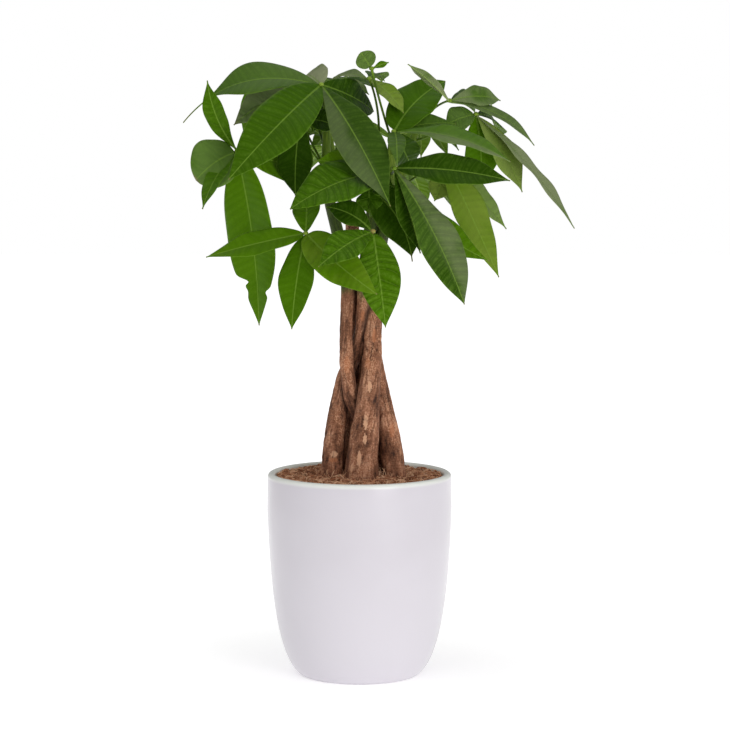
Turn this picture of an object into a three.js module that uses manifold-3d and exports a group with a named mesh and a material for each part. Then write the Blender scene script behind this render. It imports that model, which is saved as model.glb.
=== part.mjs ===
import * as THREE from "three";
import { mergeVertices } from "three/addons/utils/BufferGeometryUtils.js";
import Module from "manifold-3d";

// A potted money tree: five braided stems in a white ceramic pot, with compound leaves.
// Millimetres, +Z up. The origin is the centre of the pot's flat underside.

// Pot
const potHeight = 169;
const rimRadius = 76.5;
const bellyRadius = 77;
const bellyHeight = 140;
const footRadius = 50;
const innerFootRadius = 40;
const wallThickness = 6.5;
const floorThickness = 7;
const lipRadius = 3;
const lipSteps = 5;
const potSides = 32;
const outerSteps = 8;
const outlineSamples = 24;
const innerSteps = 5;

// How far the pot's two curves are drawn from the foot and from the belly, across and up
const footPull = [14, 10];
const bellyPull = [2.5, 48];
const innerFootPull = [10, 5];
const innerBellyPull = [3, 54];

// Soil and mulch
const soilTop = 155;
const soilShoulder = 4;
const mulchEdgeHeight = 164;
const mulchMoundHeight = 168.5;
const moundRadius = 46;
const mulchBump = 1.3;
const mulchEdgeEase = 0.2;
const mulchRings = 6;
const mulchSectors = 26;
const shredCount = 10;
const shredThickness = 1.1;
const shredHalfLength = [5, 9];
const shredDistance = [41, 60];
const shredEndDepth = 2.2;
const shredArch = 4.6;
const shredSteps = 3;
const shredSides = 3;

// Gap kept between pieces that touch
const gap = 0.3;

// Bark: shallow ridges that wind round each stem up to where it turns green
const barkEnd = 0.62;
const barkRelief = 0.45;
const barkRidges = 3;
const barkTwist = 19;
const stemSteps = 24;
const stemSides = 8;

// Leaves
const bladeThickness = 0.8;
const stalkRadius = 1.15;
const stalkSteps = 5;
const stalkSides = 5;
const hubRadius = 2.6;
const longBladeStations = [0, 0.1, 0.27, 0.47, 0.67, 0.85, 1];
const shortBladeStations = [0, 0.14, 0.38, 0.64, 0.86, 1];
const longBlade = 66;
const bladeRoot = 1.7;
const bladeRootHalf = 1.3;
const bladeTipHalf = 0.5;
const foldAngle = THREE.MathUtils.degToRad(10);
const widestAt = 0.55;
const rootSharpness = 0.8;
const tipSharpness = 0.6;

const wasm = await Module();
wasm.setup();

// A closed mesh as a solid that can be cut and joined
function solidOf(geometry) {
  const bare = geometry.clone();
  bare.deleteAttribute("normal");
  bare.deleteAttribute("uv");
  const merged = mergeVertices(bare, 1e-3);
  return new wasm.Manifold(new wasm.Mesh({
    numProp: 3,
    vertProperties: Float32Array.from(merged.attributes.position.array),
    triVerts: Uint32Array.from(merged.index.array),
  }));
}

function geometryOf(solid) {
  const mesh = solid.getMesh();
  const geometry = new THREE.BufferGeometry();
  geometry.setAttribute("position", new THREE.BufferAttribute(mesh.vertProperties, 3));
  geometry.setIndex(new THREE.BufferAttribute(mesh.triVerts, 1));
  geometry.computeVertexNormals();
  return geometry;
}

function largestPiece(solid) {
  return solid.decompose().reduce((best, piece) => (piece.volume() > best.volume() ? piece : best));
}

// A small repeatable random draw, so each build is the same
function seededDraw(seed) {
  let state = seed;
  return () => {
    state = (state * 1664525 + 1013904223) % 4294967296;
    return state / 4294967296;
  };
}

// Rings of points become a closed body with flat ends
function bodyFromRings(rings) {
  const sides = rings[0].length;
  const positions = rings.flat().flatMap((point) => [point.x, point.y, point.z]);
  const triangles = [];
  for (let ring = 0; ring < rings.length - 1; ring += 1) {
    for (let side = 0; side < sides; side += 1) {
      const next = (side + 1) % sides;
      const low = ring * sides;
      const high = low + sides;
      triangles.push(low + side, low + next, high + next);
      triangles.push(low + side, high + next, high + side);
    }
  }
  const last = (rings.length - 1) * sides;
  for (let side = 1; side < sides - 1; side += 1) {
    triangles.push(0, side + 1, side);
    triangles.push(last, last + side, last + side + 1);
  }
  const geometry = new THREE.BufferGeometry();
  geometry.setAttribute("position", new THREE.Float32BufferAttribute(positions, 3));
  geometry.setIndex(triangles);
  return geometry;
}

// A round limb along a smooth curve; radiusAt gives its radius at a fraction of its length and an angle
function limb(curve, steps, sides, radiusAt) {
  const start = curve.getPoint(0);
  const chord = curve.getPoint(1).sub(start).normalize();
  const reference = Math.abs(chord.z) > 0.7 ? new THREE.Vector3(1, 0, 0) : new THREE.Vector3(0, 0, 1);
  const rings = [];
  for (let step = 0; step <= steps; step += 1) {
    const along = step / steps;
    const centre = curve.getPoint(along);
    const tangent = curve.getTangent(along);
    const side = reference.clone().addScaledVector(tangent, -reference.dot(tangent)).normalize();
    const other = tangent.clone().cross(side);
    const ring = [];
    for (let corner = 0; corner < sides; corner += 1) {
      const angle = (2 * Math.PI * corner) / sides;
      const radius = radiusAt(along, angle);
      ring.push(centre.clone()
        .addScaledVector(side, radius * Math.cos(angle))
        .addScaledVector(other, radius * Math.sin(angle)));
    }
    rings.push(ring);
  }
  return bodyFromRings(rings);
}

// Pot

function potOutline() {
  const path = new THREE.Path();
  path.moveTo(footRadius, 0);
  path.bezierCurveTo(
    footRadius + footPull[0], footPull[1],
    bellyRadius - bellyPull[0], bellyPull[1],
    bellyRadius, bellyHeight,
  );
  path.lineTo(rimRadius, potHeight - lipRadius);
  return path;
}

function potInnerOutline(clearance) {
  const inset = wallThickness + clearance;
  const low = floorThickness + clearance;
  const path = new THREE.Path();
  path.moveTo(innerFootRadius - clearance, low);
  path.bezierCurveTo(
    footRadius + innerFootPull[0] - inset, low + innerFootPull[1],
    bellyRadius - innerBellyPull[0] - inset, innerBellyPull[1],
    bellyRadius - inset, bellyHeight,
  );
  path.lineTo(rimRadius - inset, potHeight - lipRadius);
  return path;
}

function innerRadiusAt(height, clearance) {
  const points = potInnerOutline(clearance).getPoints(outlineSamples);
  const above = points.findIndex((point) => point.y >= height);
  const low = points[above - 1];
  const high = points[above];
  return THREE.MathUtils.mapLinear(height, low.y, high.y, low.x, high.x);
}

function turned(profile) {
  return new THREE.LatheGeometry(profile, potSides).rotateX(Math.PI / 2);
}

function potGeometry() {
  const outer = potOutline().getPoints(outerSteps);
  const inner = potInnerOutline(0).getPoints(innerSteps).reverse();
  const lip = [];
  const lipMiddle = rimRadius - wallThickness / 2;
  for (let step = 1; step < lipSteps; step += 1) {
    const angle = (Math.PI * step) / lipSteps;
    lip.push(new THREE.Vector2(
      lipMiddle + (wallThickness / 2) * Math.cos(angle),
      potHeight - lipRadius + lipRadius * Math.sin(angle),
    ));
  }
  const underside = new THREE.Vector2(0, 0);
  const innerFloor = new THREE.Vector2(0, floorThickness);
  return turned([underside, ...outer, ...lip, ...inner, innerFloor]);
}

// Soil and mulch

function soilGeometry() {
  const low = floorThickness + gap;
  const wall = potInnerOutline(gap).getPoints(innerSteps)
    .filter((point) => point.y < soilTop - soilShoulder);
  const top = new THREE.Vector2(innerRadiusAt(soilTop, gap), soilTop);
  return turned([new THREE.Vector2(0, low), ...wall, top, new THREE.Vector2(0, soilTop)]);
}

function mulchHeight(x, y) {
  const distance = Math.hypot(x, y);
  const mound = 0.5 + 0.5 * Math.cos(Math.PI * Math.min(distance / moundRadius, 1));
  const bumps = Math.sin(0.31 * x + 1.7) * Math.cos(0.27 * y) + 0.6 * Math.sin(0.52 * y - 0.44 * x);
  return THREE.MathUtils.lerp(mulchEdgeHeight, mulchMoundHeight, mound) + mulchBump * bumps;
}

// The bed's flat underside, then rings over its top from the pot's wall to the middle
function mulchBed() {
  const low = soilTop + gap;
  const edge = innerRadiusAt(mulchEdgeHeight, gap) - mulchEdgeEase;
  const positions = [0, 0, low, 0, 0, mulchHeight(0, 0)];
  for (let row = 0; row <= mulchRings; row += 1) {
    const radius = row === 0 ? edge : edge * (1 - (row - 1) / mulchRings);
    for (let sector = 0; sector < mulchSectors; sector += 1) {
      const angle = (2 * Math.PI * sector) / mulchSectors;
      const x = radius * Math.cos(angle);
      const y = radius * Math.sin(angle);
      positions.push(x, y, row === 0 ? low : mulchHeight(x, y));
    }
  }
  const triangles = [];
  const at = (row, sector) => 2 + row * mulchSectors + (sector % mulchSectors);
  for (let sector = 0; sector < mulchSectors; sector += 1) {
    triangles.push(0, at(0, sector + 1), at(0, sector));
    triangles.push(1, at(mulchRings, sector), at(mulchRings, sector + 1));
    for (let row = 0; row < mulchRings; row += 1) {
      triangles.push(at(row, sector), at(row, sector + 1), at(row + 1, sector + 1));
      triangles.push(at(row, sector), at(row + 1, sector + 1), at(row + 1, sector));
    }
  }
  const geometry = new THREE.BufferGeometry();
  geometry.setAttribute("position", new THREE.Float32BufferAttribute(positions, 3));
  geometry.setIndex(triangles);
  return geometry;
}

// One curled shred of coir, both ends sunk in the mulch
function shredGeometry(draw) {
  const distance = THREE.MathUtils.lerp(...shredDistance, draw());
  const around = 2 * Math.PI * draw();
  const heading = 2 * Math.PI * draw();
  const half = THREE.MathUtils.lerp(...shredHalfLength, draw());
  const x = distance * Math.cos(around);
  const y = distance * Math.sin(around);
  const point = (offset, lift) => {
    const px = x + offset * Math.cos(heading);
    const py = y + offset * Math.sin(heading);
    return new THREE.Vector3(px, py, mulchHeight(px, py) + lift);
  };
  const start = point(-half, -shredEndDepth);
  const end = point(half, -shredEndDepth);
  const curve = new THREE.QuadraticBezierCurve3(start, point(0, shredArch), end);
  return limb(curve, shredSteps, shredSides, () => shredThickness);
}

function mulchSolid() {
  const draw = seededDraw(11);
  const shreds = Array.from({ length: shredCount }, () => solidOf(shredGeometry(draw)));
  return largestPiece(wasm.Manifold.union([solidOf(mulchBed()), ...shreds]));
}

// Stems: each row is x, y, z and the radius there, from the end in the soil to the tip
const stems = {
  stem_1: [
    [2, -15, 121, 12], [2, -16, 153, 14], [2, -17, 178, 13.3], [4, -18, 203, 11.8], [7, -17, 228, 9.8],
    [9.5, -14, 253, 8.5], [11, -11, 278, 7.3], [12, -8, 303, 6.8], [12.5, -5, 328, 6.4], [15, -6, 348, 6],
    [20, -9, 373, 5.2], [24, -13, 398, 4.6], [26, -14, 423, 4], [27, -10, 445, 3.4],
  ],
  stem_2: [
    [29, -3, 121, 10], [29, -3, 153, 11], [27.5, -3, 178, 10], [24, -2, 203, 8.8], [18.5, 0, 228, 8],
    [13, 3, 253, 7.6], [9.5, 6, 278, 7.4], [8, 10, 303, 7.2], [4, 12, 328, 6.6], [9, 16, 348, 6],
    [17, 22, 373, 5.2], [28, 28, 398, 4.6], [38, 32, 423, 4], [46, 32, 448, 3.3],
  ],
  stem_3: [
    [-23, -4, 121, 9.5], [-23, -4, 153, 10.5], [-22, -5, 178, 9.5], [-20, -4, 203, 8.5], [-16.5, 1, 228, 7.6],
    [-10, 4, 253, 6.8], [-1, -1, 278, 6], [3.4, -7.5, 303, 6.1], [4, -9, 328, 6], [6, -10.5, 348, 5.8],
    [9, -12, 373, 5.2], [12, -12, 398, 4.6], [14, -10, 418, 4], [15, -8, 435, 3.4],
  ],
  stem_4: [
    [14, 15, 121, 9.5], [13, 14, 153, 10], [12, 12, 178, 9.5], [8, 8, 203, 8], [-5.5, -6, 228, 6.2],
    [-9.6, -9, 253, 5.8], [-11, -8.5, 278, 5.5], [-10.2, -7, 303, 5.6], [-9.8, -4.5, 328, 5.7],
    [-13, -4, 348, 5.4], [-19, -5, 373, 5.1], [-25, -6, 398, 4.5], [-27, -7, 428, 3.9], [-27, -8, 455, 3.3],
  ],
  stem_5: [
    [-9, 14, 121, 9], [-9, 14, 153, 10], [-9, 14, 178, 9], [-8, 14, 203, 8.2], [-5, 14, 228, 7.6],
    [0, 15, 253, 7.3], [-1, 14, 278, 7.1], [-7, 12, 303, 6.9], [-8.5, 11, 328, 6.4], [-8, 16, 348, 6],
    [-6, 22, 373, 5.6], [-13, 31, 398, 4.7], [-22, 39, 423, 3.9], [-26, 44, 451, 3.3],
  ],
};

function stemSolid(rows, extra) {
  const curve = new THREE.CatmullRomCurve3(rows.map(([x, y, z]) => new THREE.Vector3(x, y, z)));
  const radii = new THREE.SplineCurve(rows.map((row, index) => new THREE.Vector2(index, row[3])));
  const radiusAt = (along, angle) => {
    const ridge = barkRelief * Math.sin(barkRidges * angle + barkTwist * along);
    return radii.getPoint(along).y + (along < barkEnd ? ridge : 0) + extra;
  };
  return solidOf(limb(curve, stemSteps, stemSides, radiusAt));
}

// Leaves: every hub, bend and start is a point, and every tip is an offset from its leaf's hub.
// facing is the way the leaf's upper side looks. The stalk runs from its stem at start to the hub.
const leaves = {
  leaf_upper_left: {
    stem: "stem_4", start: [-27, -8, 452], bend: [-29, -8, 475], hub: [-31, -20, 490],
    facing: [-0.15, -0.6, 0.78],
    leaflets: [
      { tip: [-114, 20, -31], width: 41, arch: 23, tail: 0.22, widest: 0.5 },
      { tip: [-16, 46, -2], width: 32, arch: 10, full: 1.2, widest: 0.38 },
      { tip: [-72, -75, -75], width: 43, arch: 10, roll: -30, full: 1.4, widest: 0.48 },
      { tip: [56, -52, -97], width: 39, arch: 12 },
      { tip: [43, 50, -22], width: 31, arch: 4, roll: 42, full: 1.4 },
    ],
  },
  leaf_far_left: {
    stem: "stem_4", start: [-25, -6, 403], bend: [-64, -14, 445], hub: [-99, -38, 436],
    facing: [-0.45, -0.6, 0.65],
    leaflets: [
      { tip: [-23, -12, 57], width: 19, arch: 4, sway: -3, widest: 0.56 },
      { tip: [-33, -7, -23], width: 42, arch: 12, roll: -40, full: 2.2 },
      { tip: [-26, -37, -45], width: 20, arch: 5 },
      { tip: [17, 8, -142], width: 48, arch: 2, sway: -6, full: 1.3, widest: 0.46 },
      { tip: [58, 50, -22], width: 38, arch: 4, roll: 42, full: 1.4 },
    ],
  },
  leaf_left_back: {
    stem: "stem_4", start: [-27, -7, 433], bend: [-36, 8, 465], hub: [-47, 15, 487],
    facing: [-0.35, -0.5, 0.8],
    leaflets: [
      { tip: [-56, -23, -30], width: 30, arch: 13, roll: -40, full: 1.2 },
      { tip: [-49, -3, -36], width: 46, arch: 13, roll: -28, full: 1.5 },
      { tip: [-34, 72, -30], width: 31, arch: 9 },
      { tip: [2, 62, -26], width: 22, arch: 6 },
    ],
  },
  leaf_left_inner: {
    stem: "stem_4", start: [-26, -6, 418], bend: [-40, -14, 443], hub: [-48, -18, 462],
    facing: [-0.3, -0.7, 0.6],
    leaflets: [
      { tip: [-4, -12, -62], width: 32, arch: 4, full: 1.2 },
      { tip: [-14, 30, -20], width: 20, arch: 5 },
      { tip: [30, 4, -6], width: 24, arch: 3 },
    ],
  },
  leaf_back_centre: {
    stem: "stem_5", start: [-26, 43, 448], bend: [-23, 46, 467], hub: [-19, 45, 492],
    facing: [0, -0.45, 0.9],
    leaflets: [
      { tip: [-20, -14, -42], width: 34, arch: 6 },
      { tip: [27, -11, -10], width: 17, arch: 3 },
      { tip: [-8, 80, -20], width: 30, arch: 12 },
      { tip: [48, 46, -16], width: 28, arch: 8 },
    ],
  },
  leaf_top: {
    stem: "stem_3", start: [15, -8, 432], bend: [19, -4, 468], hub: [8, 3, 495],
    facing: [0, -0.35, 0.9],
    leaflets: [
      { tip: [-35, 23, -4], width: 20, arch: 6 },
      { tip: [13, 7, -2], width: 9, arch: 3 },
      { tip: [11, 50, -3], width: 20, arch: 6 },
      { tip: [28, -25, -28], width: 19, arch: 4, full: 1.2 },
    ],
  },
  leaf_young: {
    stem: "stem_1", start: [27, -10, 443], bend: [17, -24, 472], hub: [10, -13, 503],
    facing: [-0.1, -0.95, 0.3],
    leaflets: [
      { tip: [-9, -2, 13], width: 18, arch: 1, full: 2.2 },
      { tip: [14, 2, 5], width: 6, arch: 1 },
    ],
  },
  leaf_right_high: {
    stem: "stem_2", start: [46, 32, 446], bend: [56, 26, 472], hub: [74, 0, 477],
    facing: [0.3, -0.1, 0.9],
    leaflets: [
      { tip: [-35, -56, 29], width: 12, arch: 2, roll: 30 },
      { tip: [43, 20, 0], width: 21, arch: 6, roll: 40 },
      { tip: [71, 14, -37], width: 16, arch: 10, roll: 28 },
      { tip: [23, 38, -10], width: 14, arch: 3 },
      { tip: [38, 66, -4], width: 24, arch: 6 },
    ],
  },
  leaf_far_right: {
    stem: "stem_2", start: [45, 32, 443], bend: [72, 24, 452], hub: [96, 3, 466],
    facing: [0.6, -0.3, 0.7],
    leaflets: [
      { tip: [38, -10, -64], width: 28, arch: 5, roll: 30 },
      { tip: [80, -25, -93], width: 26, arch: 5 },
      { tip: [5, 1, -58], width: 33, arch: 3, roll: 40, full: 1.4 },
      { tip: [-25, -6, -9], width: 25, arch: 2, roll: -10, full: 1.5 },
      { tip: [20, 62, -20], width: 26, arch: 8 },
    ],
  },
  leaf_right_upper: {
    stem: "stem_1", start: [27, -11, 439], bend: [30, -18, 449], hub: [28, -25, 452],
    facing: [0.1, -0.65, 0.75],
    leaflets: [
      { tip: [43, 41, 41], width: 37, arch: 3, sway: -4, full: 1.7, widest: 0.45 },
      { tip: [94, -20, -24], width: 31, arch: 10, roll: -14, sway: 2 },
      { tip: [2, -57, -27], width: 15, arch: 8 },
      { tip: [51, 17, 6], width: 20, arch: 4 },
      { tip: [15, 33, -30], width: 26, arch: 3, roll: 75, full: 1.3 },
    ],
  },
  leaf_right_front: {
    stem: "stem_1", start: [26, -14, 417], bend: [28, -38, 419], hub: [28, -55, 423],
    facing: [0.25, -0.8, 0.55],
    leaflets: [
      { tip: [93, -5, -10], width: 30, arch: 6, full: 1.2, widest: 0.5 },
      { tip: [56, -25, -108], width: 37, arch: 9, full: 1.25, widest: 0.62 },
      { tip: [21, -11, -68], width: 24, arch: 3 },
      { tip: [78, 25, -76], width: 28, arch: -6, sway: 8, widest: 0.6 },
    ],
  },
  leaf_right_low: {
    stem: "stem_2", start: [28, 28, 398], bend: [54, 18, 424], hub: [73, 0, 423],
    facing: [0.2, -0.75, 0.6],
    leaflets: [
      { tip: [42, -8, -91], width: 31, arch: 1, full: 1.3, widest: 0.4 },
      { tip: [50, 30, -53], width: 22, arch: 3, widest: 0.5 },
      { tip: [-11, 8, -29], width: 20, arch: 2 },
    ],
  },
  leaf_centre_low: {
    stem: "stem_3", start: [9, -12, 379], bend: [9, -30, 392], hub: [8, -40, 407],
    facing: [0, -0.8, 0.5],
    leaflets: [
      { tip: [35, -2, -60], width: 38, arch: 3, sway: -7, tail: 0.06, full: 1.5, widest: 0.44 },
      { tip: [20, -12, 1], width: 22, arch: 3 },
      { tip: [0, -4, -21], width: 22, arch: 2, full: 1.2 },
    ],
  },
  leaf_front_low: {
    stem: "stem_3", start: [4, -9, 341], bend: [8, -42, 353], hub: [11, -70, 373],
    facing: [0, -0.85, 0.5],
    leaflets: [
      { tip: [10, -15, -76], width: 34, arch: 7, full: 1.25, widest: 0.48 },
      { tip: [-43, -38, -26], width: 28, arch: 6, full: 1.1 },
      { tip: [-38, 12, 19], width: 22, arch: 3, sway: 3 },
    ],
  },
  leaf_lower_left: {
    stem: "stem_4", start: [-15, -4, 338], bend: [-26, -36, 348], hub: [-43, -60, 371],
    facing: [-0.25, -0.75, 0.6],
    leaflets: [
      { tip: [-80, -5, -19], width: 25, arch: 7, sway: -4, full: 1.2, widest: 0.45 },
      { tip: [-11, -18, -76], width: 30, arch: 7, sway: -1, full: 1.25, widest: 0.5 },
      { tip: [57, -42, -46], width: 34, arch: 3, sway: 3, full: 1.5, widest: 0.42 },
      { tip: [-1, 35, 29], width: 24, arch: 4, sway: 2, full: 1.5 },
    ],
  },
  leaf_centre: {
    stem: "stem_3", start: [13, -11, 406], bend: [10, -32, 411], hub: [14, -46, 419],
    facing: [-0.1, -0.75, 0.6],
    leaflets: [
      { tip: [-69, -34, -28], width: 44, arch: 8, full: 1.5, widest: 0.42 },
      { tip: [-49, -4, 10], width: 29, arch: 3 },
    ],
  },
};

// Leaves at the rear of the crown: their leaflets spread evenly about the way that the leaf hangs,
// over the angle spread in degrees, and the middle ones are the longest
const rearLeaves = {
  leaf_rear_left: {
    stem: "stem_5", start: [-13, 31, 398], bend: [-44, 50, 440], hub: [-58, 60, 458],
    facing: [-0.3, 0.2, 0.93],
    count: 5, longest: 64, spread: 170, seed: 3,
  },
  leaf_rear_low_left: {
    stem: "stem_5", start: [-6, 22, 373], bend: [-20, 58, 412], hub: [-26, 84, 438],
    facing: [-0.2, 0.2, 0.95],
    count: 4, longest: 60, spread: 130, seed: 5,
  },
  leaf_rear_middle: {
    stem: "stem_5", start: [-22, 39, 423], bend: [-18, 72, 450], hub: [-12, 92, 458],
    facing: [0, 0.4, 0.9],
    count: 5, longest: 50, spread: 140, seed: 7,
  },
  leaf_rear_right: {
    stem: "stem_2", start: [40, 32, 429], bend: [44, 58, 452], hub: [50, 80, 462],
    facing: [0.2, 0.5, 0.8],
    count: 4, longest: 50, spread: 90, seed: 9,
  },
  leaf_rear_low_right: {
    stem: "stem_2", start: [17, 22, 373], bend: [30, 52, 408], hub: [40, 72, 422],
    facing: [0.4, 0.4, 0.85],
    count: 4, longest: 66, spread: 110, seed: 13,
  },
};

const turnScatter = 8;
const lengthScatter = 0.12;
const sideLeafletShare = 0.8;
const droopRange = [8, 18];
const widthShare = 0.33;
const archShare = 0.1;

function spreadLeaflets({ facing, count, longest, spread, seed }) {
  const draw = seededDraw(seed);
  const up = new THREE.Vector3(...facing).normalize();
  const outward = new THREE.Vector3(0, 0, -1).addScaledVector(up, up.z).normalize();
  const sideways = up.clone().cross(outward);
  return Array.from({ length: count }, (_, index) => {
    const even = spread * (index / (count - 1) - 0.5);
    const turn = THREE.MathUtils.degToRad(even + turnScatter * (draw() - 0.5));
    const share = THREE.MathUtils.lerp(sideLeafletShare, 1, Math.cos(turn));
    const length = longest * share * (1 + lengthScatter * (draw() - 0.5));
    const droop = THREE.MathUtils.degToRad(THREE.MathUtils.lerp(...droopRange, draw()));
    const tip = outward.clone().multiplyScalar(Math.cos(turn)).addScaledVector(sideways, Math.sin(turn));
    tip.multiplyScalar(length * Math.cos(droop)).addScaledVector(up, -length * Math.sin(droop));
    return { tip: tip.toArray(), width: widthShare * length, arch: archShare * length };
  });
}

Object.entries(rearLeaves).forEach(([name, leaf]) => {
  leaves[name] = { ...leaf, leaflets: spreadLeaflets(leaf) };
});

// Half-width of a leaflet at a fraction of its length, as a share of its greatest half-width.
// tail is the share of the length that is a thin drip tip, a full leaflet is blunter, and widest
// is how far along the blade is widest.
function bladeShare(along, { tail = 0, full = 1, widest = widestAt }) {
  const within = Math.min(along / (1 - tail), 1);
  const shifted = within ** (Math.log(0.5) / Math.log(widest));
  const sharpness = (rootSharpness + tipSharpness * within) / full;
  return Math.max(Math.sin(Math.PI * shifted), 0) ** sharpness;
}

// A leaflet's spine and blade directions, from its hub to its tip
function bladeFrame(hub, leaflet, facing) {
  const offset = new THREE.Vector3(...leaflet.tip);
  const chord = offset.clone().normalize();
  const normal = facing.clone().addScaledVector(chord, -facing.dot(chord)).normalize();
  normal.applyAxisAngle(chord, THREE.MathUtils.degToRad(leaflet.roll ?? 0));
  const root = hub.clone().addScaledVector(chord, bladeRoot);
  const tip = hub.clone().add(offset);
  const middle = hub.clone().addScaledVector(offset, 0.5)
    .addScaledVector(normal, 2 * leaflet.arch)
    .addScaledVector(chord.clone().cross(normal), 2 * (leaflet.sway ?? 0));
  return { spine: new THREE.QuadraticBezierCurve3(root, middle, tip), normal };
}

function leafletGeometry(hub, leaflet, facing) {
  const { spine, normal } = bladeFrame(hub, leaflet, facing);
  const stations = Math.hypot(...leaflet.tip) > longBlade ? longBladeStations : shortBladeStations;
  const rings = stations.map((along) => {
    const centre = spine.getPoint(along);
    const tangent = spine.getTangent(along);
    const up = normal.clone().addScaledVector(tangent, -normal.dot(tangent)).normalize();
    const side = tangent.clone().cross(up);
    const least = THREE.MathUtils.lerp(bladeRootHalf, bladeTipHalf, along);
    const half = Math.max((leaflet.width / 2) * bladeShare(along, leaflet), least);
    const place = (across, below) => centre.clone()
      .addScaledVector(side, across * half * Math.cos(foldAngle))
      .addScaledVector(up, Math.abs(across) * half * Math.sin(foldAngle) - below);
    const upper = [place(1, 0), place(0, 0), place(-1, 0)];
    const lower = [place(-1, bladeThickness), place(0, bladeThickness), place(1, bladeThickness)];
    return [...upper, ...lower];
  });
  return bladeFromRings(rings);
}

// Six corners a ring: upper right, rib, left, then lower left, rib, right
function bladeFromRings(rings) {
  const positions = rings.flat().flatMap((point) => [point.x, point.y, point.z]);
  const triangles = [];
  const quad = (a, b, c, d) => triangles.push(a, b, c, a, c, d);
  for (let ring = 0; ring < rings.length - 1; ring += 1) {
    const low = 6 * ring;
    const high = low + 6;
    quad(low, high, high + 1, low + 1);
    quad(low + 1, high + 1, high + 2, low + 2);
    quad(low + 2, high + 2, high + 3, low + 3);
    triangles.push(low + 3, high + 3, low + 4, high + 3, high + 4, low + 4);
    triangles.push(low + 4, high + 4, low + 5, high + 4, high + 5, low + 5);
    quad(low + 5, high + 5, high, low);
  }
  const last = 6 * (rings.length - 1);
  quad(0, 1, 4, 5);
  quad(1, 2, 3, 4);
  quad(last + 1, last, last + 5, last + 4);
  quad(last + 2, last + 1, last + 4, last + 3);
  const geometry = new THREE.BufferGeometry();
  geometry.setAttribute("position", new THREE.Float32BufferAttribute(positions, 3));
  geometry.setIndex(triangles);
  return geometry;
}

function leafSolid(leaf, stemRoom) {
  const start = new THREE.Vector3(...leaf.start);
  const bend = new THREE.Vector3(...leaf.bend);
  const hub = new THREE.Vector3(...leaf.hub);
  const facing = new THREE.Vector3(...leaf.facing).normalize();
  const stalk = new THREE.QuadraticBezierCurve3(start, bend, hub);
  const knob = new THREE.IcosahedronGeometry(hubRadius, 0).translate(hub.x, hub.y, hub.z);
  const blades = leaf.leaflets.map((leaflet) => solidOf(leafletGeometry(hub, leaflet, facing)));
  const stalkBody = solidOf(limb(stalk, stalkSteps, stalkSides, () => stalkRadius));
  const whole = wasm.Manifold.union([stalkBody, solidOf(knob), ...blades]);
  return largestPiece(whole.subtract(stemRoom));
}

// Materials
const glazedCeramic = new THREE.MeshStandardMaterial({ color: 0xdcdae2, roughness: 0.32, metalness: 0 });
const pottingSoil = new THREE.MeshStandardMaterial({ color: 0x3a2a20, roughness: 0.95, metalness: 0 });
const coirMulch = new THREE.MeshStandardMaterial({ color: 0x8a5c43, roughness: 0.95, metalness: 0 });
const bark = new THREE.MeshStandardMaterial({ color: 0x785541, roughness: 0.85, metalness: 0 });
const greenLeaf = new THREE.MeshStandardMaterial({
  color: 0x3c690f, roughness: 0.45, metalness: 0, side: THREE.DoubleSide,
});

// Assembly
const moneyTree = new THREE.Group();

function addPiece(name, geometry, material) {
  const mesh = new THREE.Mesh(geometry, material);
  mesh.name = name;
  moneyTree.add(mesh);
}

// Each stem's room is the stem with the gap all round it, which its neighbours leave free
const stemRooms = {};
Object.entries(stems).forEach(([name, rows]) => {
  stemRooms[name] = stemSolid(rows, gap);
});
const allRoom = wasm.Manifold.union(Object.values(stemRooms));

addPiece("pot", potGeometry(), glazedCeramic);
addPiece("soil", geometryOf(solidOf(soilGeometry()).subtract(allRoom)), pottingSoil);
addPiece("mulch", geometryOf(largestPiece(mulchSolid().subtract(allRoom))), coirMulch);

const placed = [];
Object.entries(stems).forEach(([name, rows]) => {
  const cut = placed.reduce((solid, earlier) => solid.subtract(stemRooms[earlier]), stemSolid(rows, 0));
  addPiece(name, geometryOf(largestPiece(cut)), bark);
  placed.push(name);
});

Object.entries(leaves).forEach(([name, leaf]) => {
  addPiece(name, geometryOf(leafSolid(leaf, stemRooms[leaf.stem])), greenLeaf);
});

export default moneyTree;
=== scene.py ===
import math
import bpy
import numpy as np
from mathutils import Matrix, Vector, noise


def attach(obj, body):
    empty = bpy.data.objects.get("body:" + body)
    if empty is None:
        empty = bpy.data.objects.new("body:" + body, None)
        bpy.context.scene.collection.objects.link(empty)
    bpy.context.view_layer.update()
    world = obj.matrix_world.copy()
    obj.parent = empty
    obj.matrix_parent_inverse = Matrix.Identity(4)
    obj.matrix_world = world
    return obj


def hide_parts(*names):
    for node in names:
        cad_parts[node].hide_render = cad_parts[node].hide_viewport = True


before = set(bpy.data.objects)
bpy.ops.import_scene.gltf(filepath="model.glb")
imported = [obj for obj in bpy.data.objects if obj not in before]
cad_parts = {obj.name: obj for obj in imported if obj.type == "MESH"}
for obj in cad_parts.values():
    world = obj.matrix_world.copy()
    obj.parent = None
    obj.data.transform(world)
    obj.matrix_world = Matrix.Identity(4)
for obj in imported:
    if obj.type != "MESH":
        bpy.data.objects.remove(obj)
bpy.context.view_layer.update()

# A potted money tree. The scene is in metres, and the tables of places below are in millimetres.
mm = 0.001


def ink(red, green, blue):
    # a screen colour, 0 to 255, as the linear colour that a shader takes
    parts = [value / 255 for value in (red, green, blue)]
    return (*[part / 12.92 if part < 0.04045 else ((part + 0.055) / 1.055) ** 2.4 for part in parts], 1)


def unit(vector):
    return vector / np.linalg.norm(vector, axis=-1, keepdims=True)


def lerp(low, high, share):
    return low + (high - low) * share


def bell(distance, width):
    return np.exp(-(distance / width) ** 2)


def stacked(*parts):
    # parts spread over one grid, and stacked as its last axis
    return np.stack(np.broadcast_arrays(*parts), -1)


def fullTurn(count):
    return np.linspace(0, 2 * math.pi, count, endpoint=False)


# Shader values and materials

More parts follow.
